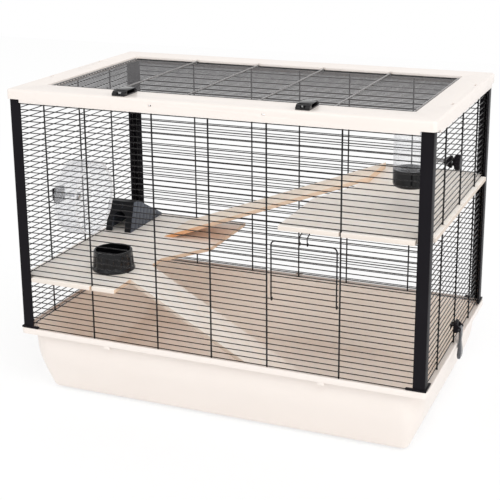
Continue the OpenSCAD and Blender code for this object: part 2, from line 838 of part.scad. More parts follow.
module house_side() {
    polygon([[0, 0], [house_lean, house_height], [house_ridge, house_height],
             [house_length, 5],
             [house_length, 0]]);
}
module house_room() {
    w = house_wall;
    polygon([[w + 0.4, -1], [house_lean + w - 0.6, house_height - w],
             [house_ridge - 0.4, house_height - w],
             [house_length - 9, 4], [house_length - 9, -1]]);
}
module house() {
    rise = house_height / house_lean;
    color(black_plastic) translate([house_x, house_y, house_z]) difference() {
        union() {
            rotate([90, 0, 90]) linear_extrude(house_width) house_side();
            // plain round boss above the doorway
            translate([house_width / 2, house_lean - 9 / rise, house_height - 9])
                rotate([90 - atan(1 / rise), 0, 0])
                    cylinder(r = 5, h = 1.4);
        }
        translate([house_wall, 0, 0]) rotate([90, 0, 90])
            linear_extrude(house_width - 2 * house_wall) house_room();
        // arched doorway through the leaning front
        translate([house_width / 2, house_lean, -1]) rotate([90, 0, 0]) linear_extrude(40) {
            translate([-15, 0]) square([30, 27]);
            translate([0, 27]) circle(15);
        }
        // grooves of the boarded side and roof, parallel to the front edge
        for (i = [1 : 7])
            translate([house_width - 0.8, i * 17, 0])
                multmatrix([[1, 0, 0, 0], [0, 1, 1 / rise, 0], [0, 0, 1, 0],
                            [0, 0, 0, 1]])
                    translate([0, 0, -1]) cube([2, 1.4, house_height + 2]);
    }
}

module bowl() {
    rim = bowl_radius - 4.5;
    room = rim - bowl_wall;
    color(black_plastic) translate([bowl_x, bowl_y, bowl_z]) difference() {
        rotate_extrude() polygon([[0, 0], [bowl_radius, 0], [bowl_radius, 3],
                                  [bowl_radius - 2, 7], [rim, bowl_height - 1.5],
                                  [rim - 1.5, bowl_height], [0, bowl_height]]);
        // food space with a sloped foot
        rotate_extrude() polygon([[0, 6], [room - 7, 6], [room - 2, 9], [room, 14],
                                  [room, bowl_height + 1], [0, bowl_height + 1]]);
        for (i = [0 : bowl_flutes - 1])
            rotate([0, 0, (i + 0.5) * 360 / bowl_flutes])
                translate([bowl_radius + 0.6, 0, 8.5]) cylinder(r = 5.4, h = 20);
    }
}

// ---------- feeder ----------

module feeder_cup() {
    r = jar_radius;
    color(black_plastic) translate([jar_x, jar_y, jar_z - cup_height])
        rotate_extrude($fn = 72) difference() {
            union() {
                translate([0, 9]) square([r, cup_height - 9 - rest_gap]);
                square([r - 9, 10]);
                translate([r - 9, 9]) circle(9);
            }
            translate([0, 12]) square([r - cup_wall, cup_height]);
            translate([0, 3]) square([r - 10, cup_height]);
            translate([r - 10, 11]) circle(7.5);
        }
}
module feeder_jar() {
    r = jar_radius;
    plug = r - cup_wall - rest_gap;
    color(clear) translate([jar_x, jar_y, jar_z]) rotate_extrude($fn = 72) difference() {
        union() {
            square([r, jar_height - 12]);
            square([r - 12, jar_height]);
            translate([r - 12, jar_height - 12]) circle(12);
            translate([0, -neck]) square([plug, neck + 1]);
        }
        translate([0, 4]) square([r - jar_wall, jar_height - 16]);
        translate([0, 4]) square([r - 12, jar_height - 4 - jar_wall]);
        translate([r - 12, jar_height - 12]) circle(12 - jar_wall);
        translate([0, -neck - 1]) square([plug - jar_wall, neck + 6]);
    }
}
module feeder_rod() {
    start = jar_x + jar_radius + seat_gap;
    color(steel) {
        wire_x(start + 1, row_x + row_r + 12, jar_y, feeder_z, feeder_rod_r);
        translate([start, jar_y, feeder_z]) rotate([0, 90, 0]) cylinder(r = 6, h = 2.5);
    }
}
module feeder_cone() {
    tip = row_x - row_r - 0.2;
    color(black_plastic) translate([tip, jar_y, feeder_z]) rotate([0, -90, 0])
        difference() {
            union() {
                cylinder(r = 11, h = 3);
                translate([0, 0, 3]) cylinder(r1 = 11, r2 = 5, h = 11);
            }
            translate([0, 0, -1]) cylinder(r = feeder_rod_r + seat_gap, h = 20);
        }
}
module feeder_knob() {
    start = row_x + row_r + rest_gap;
    color(black_plastic) translate([start, jar_y, feeder_z]) rotate([0, 90, 0])
        difference() {
            union() {
                cylinder(r = 7, h = 4);
                translate([0, 0, 3.4]) cylinder(r = knob_radius - 1, h = 1);
                translate([0, 0, 4.4]) cylinder(r = knob_radius, h = 7);
                translate([0, 0, 11.4])
                    cylinder(r1 = knob_radius, r2 = knob_radius - 2, h = 2);
            }
            translate([0, 0, -1])
                cylinder(r = feeder_rod_r + running_gap, h = 12.5 + 1);
            for (i = [0 : 11]) rotate([0, 0, i * 30])
                translate([knob_radius + 1.2, 0, 3]) cylinder(r = 2.2, h = 12, $fn = 24);
        }
}

tray();
top_frame();
corner_posts();
front_wall();
back_wall();
left_wall();
right_wall();
lid_wires();
lid_cross_wires();
lid_hinge_rod();
lid_latch_left();
lid_latch_right();
door_frame();
door_rows_wires();
door_latch();
shelf_left();
shelf_right();
ramp_upper();
ramp_lower();
clip_body_left();
clip_body_right();
clip_lever_left();
clip_lever_right();
wheel_mount();
wheel_shaft();
wheel_drum();
house();
bowl();
feeder_cup();
feeder_jar();
feeder_rod();
feeder_cone();
feeder_knob();
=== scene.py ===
import math

import bmesh
import bpy
from mathutils import Matrix, Vector


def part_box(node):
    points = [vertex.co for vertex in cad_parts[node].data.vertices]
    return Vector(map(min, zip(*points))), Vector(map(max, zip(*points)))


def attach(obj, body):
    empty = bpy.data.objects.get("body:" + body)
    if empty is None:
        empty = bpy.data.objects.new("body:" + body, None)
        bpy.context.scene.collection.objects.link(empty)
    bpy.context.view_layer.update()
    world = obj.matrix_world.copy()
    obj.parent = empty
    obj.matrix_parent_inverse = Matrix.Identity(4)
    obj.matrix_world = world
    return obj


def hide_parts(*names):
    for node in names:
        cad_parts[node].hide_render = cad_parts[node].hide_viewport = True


bl_info = {
    "name": "Ferret cage",
    "version": (1, 0, 0),
    "blender": (4, 5, 0),
    "location": "3D View > Sidebar > Cage",
    "description": "Dresses the ferret cage: tray, wire walls, lid, door, shelves and fittings",
    "category": "Object",
}

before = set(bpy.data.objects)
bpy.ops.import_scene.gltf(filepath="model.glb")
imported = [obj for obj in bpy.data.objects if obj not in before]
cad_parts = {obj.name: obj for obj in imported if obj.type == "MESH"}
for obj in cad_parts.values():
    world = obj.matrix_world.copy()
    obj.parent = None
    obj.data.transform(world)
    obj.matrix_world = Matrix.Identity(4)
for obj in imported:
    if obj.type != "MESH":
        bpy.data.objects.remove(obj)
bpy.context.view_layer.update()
MM = 0.001


# ---------- places read from the frame, in metres ----------

def middle(node, axis):
    """Where the middle of a CAD node lies along one axis."""
    low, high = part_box(node)
    return (low[axis] + high[axis]) / 2


# ---------- colour and shader helpers ----------

def linear(colour):
    """sRGB triple, 0 to 255, as Blender's linear colour."""
    out = []
    for value in colour:
        c = value / 255
        out.append(c / 12.92 if c <= 0.04045 else ((c + 0.055) / 1.055) ** 2.4)
    return (*out, 1.0)


class Finish:
    """A material around one Principled shader, patterned by Object coordinates."""

    def __init__(self, name, roughness, **sockets):
        self.material = bpy.data.materials.new(name)
        self.material.use_nodes = True
        self.tree = self.material.node_tree
        self.tree.nodes.clear()
        self.shader = self.tree.nodes.new("ShaderNodeBsdfPrincipled")
        self.output = self.tree.nodes.new("ShaderNodeOutputMaterial")
        self.join(self.shader.outputs[0], self.output.inputs[0])
        self.shader.inputs["Roughness"].default_value = roughness
        for socket, value in sockets.items():
            self.shader.inputs[socket.replace("_", " ")].default_value = value
        self.where = self.tree.nodes.new("ShaderNodeTexCoord").outputs["Object"]

    def join(self, source, target):
        self.tree.links.new(source, target)

    def node(self, kind, *sources, **settings):
        """A shader node; each source is an output to join or a plain value."""
        made = self.tree.nodes.new("ShaderNode" + kind)
        for name, value in settings.items():
            setattr(made, name, value)
        for index, source in enumerate(sources):
            if hasattr(source, "links"):
                self.join(source, made.inputs[index])
            else:
                made.inputs[index].default_value = source
        return made

    def stretched(self, scale):
        """The place on the piece, scaled separately along X, Y and Z."""
        return self.node("VectorMath", self.where, scale, operation="MULTIPLY").outputs[0]

    def noise(self, scale, stretch=(1, 1, 1), detail=3.0, roughness=0.55):
        made = self.node("TexNoise", self.stretched(stretch))
        made.inputs["Scale"].default_value = scale
        made.inputs["Detail"].default_value = detail
        made.inputs["Roughness"].default_value = roughness
        return made.outputs["Fac"]

    def between(self, amount, low, high):
        """Maps 0..1 to low..high."""
        return self.node("MapRange", amount, 0.0, 1.0, low, high).outputs[0]

    def step(self, amount, start, end):
        """Rises smoothly from 0 at start to 1 at end."""
        made = self.node("MapRange", amount, start, end, 0.0, 1.0)
        made.interpolation_type = "SMOOTHSTEP"
        return made.outputs[0]

    def axis(self, index, source=None):
        return self.node("SeparateXYZ", source or self.where).outputs[index]

    def normal(self, index):
        """How far the surface faces along one object axis, -1 to 1."""
        return self.axis(index, self.tree.nodes.new("ShaderNodeTexCoord").outputs["Normal"])

    def facing(self, index):
        """The same either way round, 0 to 1."""
        return self.node("Math", self.normal(index), operation="ABSOLUTE").outputs[0]

    def times(self, a, b):
        return self.node("Math", a, b, operation="MULTIPLY").outputs[0]

    def plus(self, a, b):
        return self.node("Math", a, b, operation="ADD").outputs[0]

    def blend(self, amount, first, second):
        made = self.tree.nodes.new("ShaderNodeMix")
        made.data_type = "RGBA"
        for index, source in ((0, amount), (6, first), (7, second)):
            if hasattr(source, "links"):
                self.join(source, made.inputs[index])
            else:
                made.inputs[index].default_value = source
        return made.outputs[2]

    def colour(self, source):
        self.join(source, self.shader.inputs["Base Color"])

    def rough(self, source):
        self.join(source, self.shader.inputs["Roughness"])

    def bump(self, height, distance, strength=1.0):
        made = self.tree.nodes.new("ShaderNodeBump")
        made.inputs["Strength"].default_value = strength
        made.inputs["Distance"].default_value = distance
        self.join(height, made.inputs["Height"])
        self.join(made.outputs[0], self.shader.inputs["Normal"])


BOARD_BACK, BOARD_BACK_GRAIN = (232, 182, 138), (220, 164, 118)
SCUFF, STEEL_SHADE = (236, 240, 244), (170, 172, 176)


def moulded(name, colour, second, roughness, grain=0.00004, **sockets):
    """Moulded plastic: faint flow marks in the colour, a fine grain and uneven gloss."""
    made = Finish(name, roughness, **sockets)
    made.colour(made.blend(made.noise(9, (1, 1, 1.6), 4), linear(colour), linear(second)))
    made.rough(made.between(made.noise(60), roughness - 0.05, roughness + 0.07))
    made.bump(made.noise(2200, detail=2), grain)
    return made.material


def powder_coat(name, colour, second, gloss):
    """Coat on wire: orange peel and slightly thicker runs."""
    made = Finish(name, 0.18, Specular_IOR_Level=gloss)
    made.colour(made.blend(made.noise(120), linear(colour), linear(second)))
    made.rough(made.between(made.noise(400), 0.13, 0.24))
    made.bump(made.noise(900), 0.00006)
    return made.material


def board(name, face, grain, edge, end, painted_low_shade):
    """Pale-faced board: streaked grain, cut edges and a brown back, with painted shade on the
    edges: a darker, tan tone on the ends facing X and a more orange tone towards the low end.
    """
    made = Finish(name, 0.62)
    along = (2.2, 55.0, 55.0)
    streaks = made.noise(1.0, along, 6, 0.62)
    fibres = made.noise(9.0, along, 3)
    cloud = made.noise(7.0, detail=2)
    lines = made.step(streaks, 0.36, 0.72)
    tone = made.blend(lines, linear(face), linear(grain))
    tone = made.blend(made.between(cloud, 0.0, 0.5), tone, linear(face))
    shaded_edge = made.step(made.facing(2), 0.75, 0.35)
    # Painted shade: from x = -0.1 m to -0.24 m the edge tone turns to the low-end shade tone.
    low_shade_mask = made.step(made.axis(0), -0.1, -0.24)
    sides = made.blend(low_shade_mask, linear(edge), linear(painted_low_shade))
    # Painted shade: the ends facing X take the darker end tone.
    sides = made.blend(made.step(made.facing(0), 0.6, 0.8), sides, linear(end))
    upward = made.normal(2)
    back = made.blend(lines, linear(BOARD_BACK), linear(BOARD_BACK_GRAIN))
    tone = made.blend(made.step(upward, -0.4, -0.7), tone, back)
    made.colour(made.blend(shaded_edge, tone, sides))
    made.rough(made.between(fibres, 0.5, 0.72))
    made.bump(made.plus(streaks, made.times(fibres, 0.6)), 0.00016, 0.6)
    return made.material


def clear(name, tint, body):
    """Thin clear moulding, faintly scuffed: nearly see-through face on, and a more opaque white
    towards edge on, which is a painted reflection.
    """
    made = Finish(name, 0.1, IOR=1.49)
    scuffs = made.step(made.noise(70, (1, 1, 3), 5), 0.62, 0.8)
    made.colour(made.blend(scuffs, linear(tint), linear(SCUFF)))
    made.rough(made.between(scuffs, 0.06, 0.16))
    made.bump(made.noise(40), 0.0001, 0.5)
    # Painted reflection: the white grows more opaque as the surface turns edge on.
    edge_on = made.tree.nodes.new("ShaderNodeLayerWeight")
    edge_on.inputs["Blend"].default_value = 0.25
    thick = made.plus(made.between(edge_on.outputs["Facing"], body, body + 0.4),
                      made.times(scuffs, 0.06))
    made.join(thick, made.shader.inputs["Alpha"])
    return made.material


def bright_metal(name, colour):
    """Turned steel: fine marks round the piece."""
    made = Finish(name, 0.25, Metallic=1.0)
    made.colour(made.blend(made.noise(300), linear(colour), linear(STEEL_SHADE)))
    made.rough(made.between(made.noise(1, (40, 1500, 1500)), 0.16, 0.38))
    made.bump(made.noise(1, (60, 2500, 2500)), 0.00003)
    return made.material


def roof_with_painted_reflection(name, wall, roof):
    """Black moulding with a painted reflection: the sloping boards, facing towards X, are painted a
    lighter slate grey with faint streaks, and the walls stay black.
    """
    made = Finish(name, 0.3, Specular_IOR_Level=0.15)
    # Painted reflection: faces turned towards X take the roof tone in place of the black.
    slope = made.step(made.facing(0), 0.25, 0.5)
    boards = made.blend(made.noise(30, (1, 4, 1), 3), linear(roof), linear([v + 12 for v in roof]))
    made.colour(made.blend(slope, linear(wall), boards))
    made.rough(made.between(made.noise(60), 0.26, 0.4))
    made.bump(made.noise(1800, detail=2), 0.00003)
    return made.material


FINISHES = {}


def make_finishes(look):
    FINISHES["cream"] = moulded("cream_plastic", look.cream, look.cream_shade, 0.34)
    # The tray's inside is the same cream plastic painted lighter: painted light against the shade
    # inside the cage.
    FINISHES["tray_inside"] = moulded("cream_plastic_inside_painted_light", look.inside, look.inside_shade, 0.45)
    FINISHES["black"] = moulded("black_plastic", (20, 18, 22), (26, 24, 28), 0.4, 0.00008,
                                Specular_IOR_Level=0.06, Sheen_Weight=0.12, Sheen_Roughness=0.3)
    FINISHES["gloss"] = moulded("black_gloss_plastic", (10, 10, 12), (15, 14, 17), 0.16, 0.00001,
                                Specular_IOR_Level=0.36)
    FINISHES["lever"] = moulded("lever_plastic", (52, 54, 59), (66, 68, 74), 0.16, 0.00001,
                                Specular_IOR_Level=0.9)
    # The house's roof tone is a painted reflection on black plastic.
    FINISHES["house"] = roof_with_painted_reflection("house_plastic", (15, 15, 19), (78, 84, 95))
    FINISHES["wire"] = powder_coat("wire_coat", look.wire, (22, 20, 22), 0.26)
    # The lid's wires have the same black coat as the walls, painted lighter: a painted highlight,
    # strongest on the cross wires.
    FINISHES["lid_cross"] = powder_coat("lid_cross_coat_painted_highlight", (104, 101, 100), (116, 113, 112), 1.0)
    FINISHES["lid_wire"] = powder_coat("lid_wire_coat_painted_highlight", (60, 58, 60), (72, 70, 72), 1.0)
    # Board tones: face, grain, edge, end and low end. The end tones are painted shade on the board
    # ends that face X. The upper ramp's low-end tone (238, 170, 114) is painted shade towards its
    # foot; on the other boards the low-end tone equals the edge tone.
    pale, shaded_edge, end = (227, 217, 207), (238, 208, 180), (214, 200, 187)
    peach, streak, low = (254, 239, 223), (249, 228, 206), (236, 220, 204)
    boards = {"shelf_left": (look.wood, look.grain, pale, shaded_edge, pale),
              "shelf_right": (look.wood, look.grain, pale, end, pale),
              "ramp_upper": (peach, streak, (242, 214, 188), shaded_edge, (238, 170, 114)),
              "ramp_lower": (look.wood, look.grain, low, shaded_edge, low)}
    for name, tones in boards.items():
        FINISHES[name] = board(name + "_board", *tones)
    FINISHES["clear"] = clear("clear_plastic", (238, 240, 245), 0.08)
    # A near-opaque white copy of the clear plastic: a painted highlight for the wheel's rim.
    FINISHES["clear_edge"] = clear("clear_plastic_painted_highlight", (252, 252, 254), 0.8)
    FINISHES["steel"] = bright_metal("bright_steel", (205, 207, 210))


# ---------- mesh helpers ----------

def piece(name, mesh, finish, body, node, sharp=35):
    """Puts a finished mesh into the scene, riding on its body in place of its node."""
    mesh.name = name
    if not mesh.materials:
        mesh.materials.append(FINISHES[finish])
    mesh.shade_smooth()
    mesh.set_sharp_from_angle(angle=math.radians(sharp))
    made = bpy.data.objects.new(name, mesh)
    bpy.context.scene.collection.objects.link(made)
    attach(made, body)
    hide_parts(node)


def finished(data):
    """The working mesh as a mesh of the scene, with no material yet."""
    mesh = bpy.data.meshes.new("part")
    data.to_mesh(mesh)
    data.free()
    return mesh


def mesh_of(verts, faces, merge, thin=None):
    """Closed mesh facing outward; points nearer than merge become one."""
    data = bmesh.new()
    points = [data.verts.new(v) for v in verts]
    for face in faces:
        data.faces.new([points[i] for i in face])
    bmesh.ops.remove_doubles(data, verts=data.verts, dist=merge)
    if thin:
        bmesh.ops.dissolve_degenerate(data, edges=data.edges, dist=thin)
    bmesh.ops.recalc_face_normals(data, faces=data.faces)
    return finished(data)


def together(meshes):
    """Several meshes as one."""
    data = bmesh.new()
    for mesh in meshes:
        data.from_mesh(mesh)
    return finished(data)


def rounded_ring(hx, hy, radius, z, steps):
    """Points round a rectangle with rounded corners."""
    ring = []
    for sx, sy, start in ((1, 1, 0), (-1, 1, 90), (-1, -1, 180), (1, -1, 270)):
        for i in range(steps + 1):
            a = math.radians(start + 90 * i / steps)
            ring.append((sx * (hx - radius) + radius * math.cos(a),
                         sy * (hy - radius) + radius * math.sin(a), z))
    return ring


def loft(rings, close=False):
    """Skin over rings of equal length, closed on itself or capped; vertices and faces."""
    n = len(rings[0])
    verts = [p for ring in rings for p in ring]
    faces = []
    last = len(rings) if close else len(rings) - 1
    for k in range(last):
        a, b = k * n, (k + 1) % len(rings) * n
        faces += [(a + i, a + (i + 1) % n, b + (i + 1) % n, b + i) for i in range(n)]
    if not close:
        faces.append(tuple(range(n - 1, -1, -1)))
        faces.append(tuple(range((len(rings) - 1) * n, len(rings) * n)))
    return verts, faces


def filleted(points, radii, steps):
    """Rounds the corners of an open profile; each point is a tuple of numbers."""
    out = []
    for i, p in enumerate(points):
        r = radii[i]
        if r <= 0 or i in (0, len(points) - 1):
            out.append(p)
            continue
        here, before, after = Vector(p), Vector(points[i - 1]), Vector(points[i + 1])
        to, fro = before - here, after - here
        cut = min(r, to.length * 0.45, fro.length * 0.45)
        a, b = here + to.normalized() * cut, here + fro.normalized() * cut
        for k in range(steps + 1):
            t = k / steps
            out.append(tuple((1 - t) ** 2 * a + 2 * t * (1 - t) * here + t * t * b))
    return out


def lathe(profile, centre, steps, axis="Z", shape=None):
    """Turns a closed profile of (radius, height) round an axis through centre."""
    rings = []
    for radius, height in profile:
        ring = []
        for i in range(steps):
            a = 2 * math.pi * i / steps
            r = shape(radius, height, a) if shape else radius
            u, v = r * math.cos(a), r * math.sin(a)
            ring.append((u, v, height) if axis == "Z" else (height, u, v))
        rings.append([tuple(c + centre[k] for k, c in enumerate(p)) for p in ring])
    return mesh_of(*loft(rings, close=True), merge=1e-7, thin=1e-8)


def block(low, high, soften):
    """Box with bevelled edges."""
    data = bmesh.new()
    bmesh.ops.create_cube(data, size=1)
    for v in data.verts:
        v.co = Vector([low[k] + (v.co[k] + 0.5) * (high[k] - low[k]) for k in range(3)])
    bmesh.ops.bevel(data, geom=data.edges[:], offset=soften, segments=2, affect="EDGES",
                    profile=0.5)
    return finished(data)


def softened(node, width):
    """Copy of a CAD node with its triangles merged and its edges of over 30 degrees rounded."""
    data = bmesh.new()
    data.from_mesh(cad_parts[node].data)
    bmesh.ops.remove_doubles(data, verts=data.verts, dist=2e-6)
    bmesh.ops.dissolve_limit(data, angle_limit=math.radians(0.6), verts=data.verts,
                             edges=data.edges)
    sharp = [e for e in data.edges if len(e.link_faces) == 2
             and e.calc_face_angle(0) > math.radians(30)]
    bmesh.ops.bevel(data, geom=sharp, offset=width, segments=2, affect="EDGES",
                    profile=0.55, clamp_overlap=True)
    return finished(data)


# ---------- geometry node trees ----------

def new_tree(name, inputs):
    tree = bpy.data.node_groups.new(name, "GeometryNodeTree")
    face = tree.interface
    face.new_socket("Geometry", in_out="INPUT", socket_type="NodeSocketGeometry")
    for label, kind, default in inputs:
        socket = face.new_socket(label, in_out="INPUT", socket_type="NodeSocket" + kind)
        if default is not None:
            socket.default_value = default
    face.new_socket("Geometry", in_out="OUTPUT", socket_type="NodeSocketGeometry")
    return tree


def tree_node(tree, kind, **settings):
    made = tree.nodes.new("GeometryNode" + kind)
    for name, value in settings.items():
        setattr(made, name, value)
    return made


def close_tree(tree, source, entry):
    """Every tree ends in Realize Instances and Set Material."""
    real = tree_node(tree, "RealizeInstances")
    paint = tree_node(tree, "SetMaterial")
    leave = tree.nodes.new("NodeGroupOutput")
    tree.links.new(source, real.inputs[0])
    tree.links.new(real.outputs[0], paint.inputs["Geometry"])
    tree.links.new(entry.outputs["Material"], paint.inputs["Material"])
    tree.links.new(paint.outputs[0], leave.inputs[0])


def sweep_tree():
    """Wire of round section along the edges of the incoming path."""
    tree = new_tree("Wire along a path", [("Radius", "Float", 0.001), ("Sides", "Int", 12),
                                         ("Material", "Material", None)])
    entry = tree.nodes.new("NodeGroupInput")
    path = tree_node(tree, "MeshToCurve")
    ring = tree_node(tree, "CurvePrimitiveCircle", mode="RADIUS")
    skin = tree_node(tree, "CurveToMesh")
    skin.inputs["Fill Caps"].default_value = True
    link = tree.links.new
    link(entry.outputs["Geometry"], path.inputs["Mesh"])
    link(entry.outputs["Sides"], ring.inputs["Resolution"])
    link(entry.outputs["Radius"], ring.inputs["Radius"])
    link(path.outputs[0], skin.inputs["Curve"])
    link(ring.outputs[0], skin.inputs["Profile Curve"])
    close_tree(tree, skin.outputs[0], entry)
    return tree


def rank_tree():
    """The incoming shape repeated along a straight line."""
    tree = new_tree("Repeated in a rank", [("Count", "Int", 2), ("Step", "Vector", (0, 0, 0.01)),
                                          ("Material", "Material", None)])
    entry = tree.nodes.new("NodeGroupInput")
    line = tree_node(tree, "MeshLine", mode="OFFSET")
    put = tree_node(tree, "InstanceOnPoints")
    link = tree.links.new
    link(entry.outputs["Count"], line.inputs["Count"])
    link(entry.outputs["Step"], line.inputs["Offset"])
    link(line.outputs[0], put.inputs["Points"])
    link(entry.outputs["Geometry"], put.inputs["Instance"])
    close_tree(tree, put.outputs[0], entry)
    return tree


def wheel_tree():
    """The incoming shape repeated round an axis through Centre."""
    tree = new_tree("Repeated round an axis", [
        ("Count", "Int", 12), ("Axis", "Vector", (0, 0, 1)), ("Centre", "Vector", (0, 0, 0)),
        ("Material", "Material", None)])
    entry = tree.nodes.new("NodeGroupInput")
    line = tree_node(tree, "MeshLine", mode="OFFSET")
    line.inputs["Offset"].default_value = (0, 0, 0)
    put = tree_node(tree, "InstanceOnPoints")
    turn = tree_node(tree, "RotateInstances")
    turn.inputs["Local Space"].default_value = False
    order = tree_node(tree, "InputIndex")
    share = tree.nodes.new("ShaderNodeMath")
    share.operation = "DIVIDE"
    angle = tree.nodes.new("ShaderNodeMath")
    angle.operation = "MULTIPLY"
    angle.inputs[1].default_value = 2 * math.pi
    spin = tree.nodes.new("FunctionNodeAxisAngleToRotation")
    link = tree.links.new
    link(entry.outputs["Count"], line.inputs["Count"])
    link(line.outputs[0], put.inputs["Points"])
    link(entry.outputs["Geometry"], put.inputs["Instance"])
    link(put.outputs[0], turn.inputs["Instances"])
    link(order.outputs[0], share.inputs[0])
    link(entry.outputs["Count"], share.inputs[1])
    link(share.outputs[0], angle.inputs[0])
    link(angle.outputs[0], spin.inputs["Angle"])
    link(entry.outputs["Axis"], spin.inputs["Axis"])
    link(spin.outputs[0], turn.inputs["Rotation"])
    link(entry.outputs["Centre"], turn.inputs["Pivot Point"])
    close_tree(tree, turn.outputs[0], entry)
    return tree


def weld_tree():
    """A small bead of coated weld at each incoming point."""
    tree = new_tree("Welds at points", [("Size", "Float", 0.001), ("Material", "Material", None)])
    entry = tree.nodes.new("NodeGroupInput")
    ball = tree_node(tree, "MeshIcoSphere")
    ball.inputs["Subdivisions"].default_value = 1
    put = tree_node(tree, "InstanceOnPoints")
    link = tree.links.new
    link(entry.outputs["Size"], ball.inputs["Radius"])
    link(entry.outputs["Geometry"], put.inputs["Points"])
    link(ball.outputs[0], put.inputs["Instance"])
    close_tree(tree, put.outputs[0], entry)
    return tree


BUILDERS = {"sweep": sweep_tree, "rank": rank_tree, "round": wheel_tree, "weld": weld_tree}
TREES = {}


def grown(mesh, finish, *steps):
    """Runs geometry node trees on a mesh and returns the plain result."""
    made = bpy.data.objects.new("growing", mesh)
    bpy.context.scene.collection.objects.link(made)
    for tree_name, values in steps:
        if tree_name not in TREES:
            TREES[tree_name] = BUILDERS[tree_name]()
        tree = TREES[tree_name]
        sockets = {item.name: item.identifier for item in tree.interface.items_tree
                   if item.in_out == "INPUT"}
        modifier = made.modifiers.new(tree_name, "NODES")
        modifier.node_group = tree
        modifier[sockets["Material"]] = FINISHES[finish]
        for label, value in values.items():
            modifier[sockets[label]] = value
    graph = bpy.context.evaluated_depsgraph_get()
    result = bpy.data.meshes.new_from_object(made.evaluated_get(graph))
    made.modifiers.clear()
    bpy.data.objects.remove(made)
    return result


def path_mesh(points):
    """Points joined in their order by edges."""
    mesh = bpy.data.meshes.new("path")
    mesh.from_pydata(points, [(i, i + 1) for i in range(len(points) - 1)], [])
    return mesh


def wire(points, radius, sides=12):
    """One wire along a path."""
    return grown(path_mesh(points), "wire", ("sweep", {"Radius": radius, "Sides": sides}))


def wires(points, radius, count, step, sides):
    """A rank of equal wires."""
    return grown(path_mesh(points), "wire", ("sweep", {"Radius": radius, "Sides": sides}),
                 ("rank", {"Count": count, "Step": step}))


def welds(points, size):
    """Beads of weld at points."""
    mesh = bpy.data.meshes.new("points")
    mesh.from_pydata(points, [], [])
    return grown(mesh, "wire", ("weld", {"Size": size}))


# ---------- settings shown in the sidebar ----------

class CageLook(bpy.types.PropertyGroup):
    """Colours and small sizes of the cage's finish."""
    cream: bpy.props.IntVectorProperty(name="Cream plastic", description="Tray and top frame",
                                       default=(238, 230, 224), min=0, max=255)
    cream_shade: bpy.props.IntVectorProperty(name="Cream flow marks",
                                             description="Fainter tone in the cream plastic",
                                             default=(235, 226, 219), min=0, max=255)
    # The two tray inside tones are lighter than the cream: painted light for the shaded inside.
    inside: bpy.props.IntVectorProperty(name="Tray inside", description="Inside of the tray",
                                        default=(255, 250, 244), min=0, max=255)
    inside_shade: bpy.props.IntVectorProperty(name="Tray inside marks",
                                              description="Second tone inside the tray",
                                              default=(254, 247, 239), min=0, max=255)
    wire: bpy.props.IntVectorProperty(name="Wire coat", description="Coat on all the wires",
                                      default=(17, 15, 17), min=0, max=255)
    wood: bpy.props.IntVectorProperty(name="Board", description="Face of shelves and ramps",
                                      default=(255, 249, 242), min=0, max=255)
    grain: bpy.props.IntVectorProperty(name="Board grain", description="Streaks in the boards",
                                       default=(252, 240, 227), min=0, max=255)
    weld: bpy.props.FloatProperty(name="Weld bead",
                                  description="Size of the beads where wires cross",
                                  default=1.15 * MM, min=0, max=3 * MM, unit="LENGTH")
    edge: bpy.props.FloatProperty(name="Edge rounding", description="Rounding of moulded edges",
                                  default=0.5 * MM, min=0, max=2 * MM, unit="LENGTH")


class CageWires(bpy.types.PropertyGroup):
    """Radii of the wires and the sides of their round section."""
    thin: bpy.props.FloatProperty(name="Thin wire radius", description="Horizontal wires",
                                  default=0.9 * MM, min=0.5 * MM, max=2 * MM, unit="LENGTH")
    thick: bpy.props.FloatProperty(name="Upright radius", description="Upright wires",
                                   default=1.5 * MM, min=1 * MM, max=3 * MM, unit="LENGTH")
    sides: bpy.props.IntProperty(name="Sides", description="Sides of a thin wire's section",
                                 default=10, min=6, max=16)


def look():
    return bpy.context.scene.cage_look


def mesh_sizes():
    return bpy.context.scene.cage_wires


# ---------- places of the wires, in millimetres ----------

ROW_ZERO, PITCH, ROWS = 136.3, 10.75, 43
ROW_X, ROW_Y = 388.58, 228.58
UPRIGHT_X, UPRIGHT_Y = 391.0, 231.0
EDGE_X, EDGE_Y = 384.5, 224.5
DOOR_SIDES = (108, 242)
LONG_UPRIGHTS = (-EDGE_X, -242, -108, 0, *DOOR_SIDES, EDGE_X)
END_UPRIGHTS = (-EDGE_Y, -130, 0, 130, EDGE_Y)
FOOT_Z, HEAD_Z = 134.8, 601.98
DOOR_LOW, DOOR_TOP = 12, 22
DOOR_LEFT, DOOR_RIGHT, DOOR_Y = 116.3, 236.0, 231.08
LID_ROWS, LID_START, LID_HALF = 32, -172.0, 346.0
LID_CROSS = (-208, -70, 70, 208)
ROD_Y, ROD_Z = 175.8, 599.37
ROW_END = 1.3                               # a row stops this much before the next wall's rows
THIN, DOOR_WIRE, CATCH_WIRE = 0.9, 1.3, 1.0  # radii of rows, door frame and catch
LOOSE = 0.05                                # room between a curl and the wire inside it
BENT_SIDES = 14                             # sides of a thick or bent wire's section


def row_z(k):
    """Height of one horizontal wire of a wall, counted from the lowest."""
    return ROW_ZERO + PITCH * k


def mm(*point):
    """Millimetres as metres."""
    return tuple(v * MM for v in point)


def run(start, end, radius, count=1, step=(0, 0, 0), sides=None):
    """A rank of straight wires given in millimetres."""
    return wires([mm(*start), mm(*end)], radius, count, mm(*step), sides or mesh_sizes().sides)


